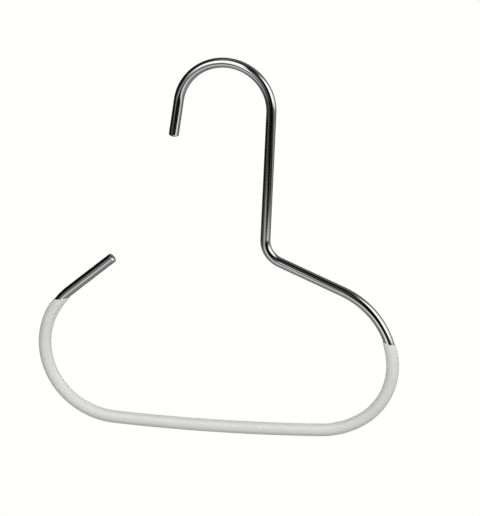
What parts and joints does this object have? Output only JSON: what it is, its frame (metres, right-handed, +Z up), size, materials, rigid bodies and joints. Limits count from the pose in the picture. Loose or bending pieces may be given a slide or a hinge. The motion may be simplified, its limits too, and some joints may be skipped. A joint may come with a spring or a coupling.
{
  "type": "scarf and tie hook",
  "caption": "Chromed steel rod bent into a rail hook above an open-ended loop for scarves and ties, with a soft pale dip coating along the lower loop.",
  "frame": {"origin": "inner crown of the hook, the point that bears on top of a wardrobe rail, on the rod's mid-plane", "axes": "+Z up, as the hook hangs; +X in the plane of the bent rod, from the hook tip towards the shoulder side of the loop; Y through the rod's thickness, the direction in which the rail lies"},
  "size_m": [0.183, 0.0064, 0.1937],
  "materials": {
    "rod": "polished bright plating on steel",
    "coating": "soft satin dip coating"
  },
  "bodies": {
    "root": {"bent_rod": "rod", "grip_coating": "coating"}
  },
  "joints": []
}
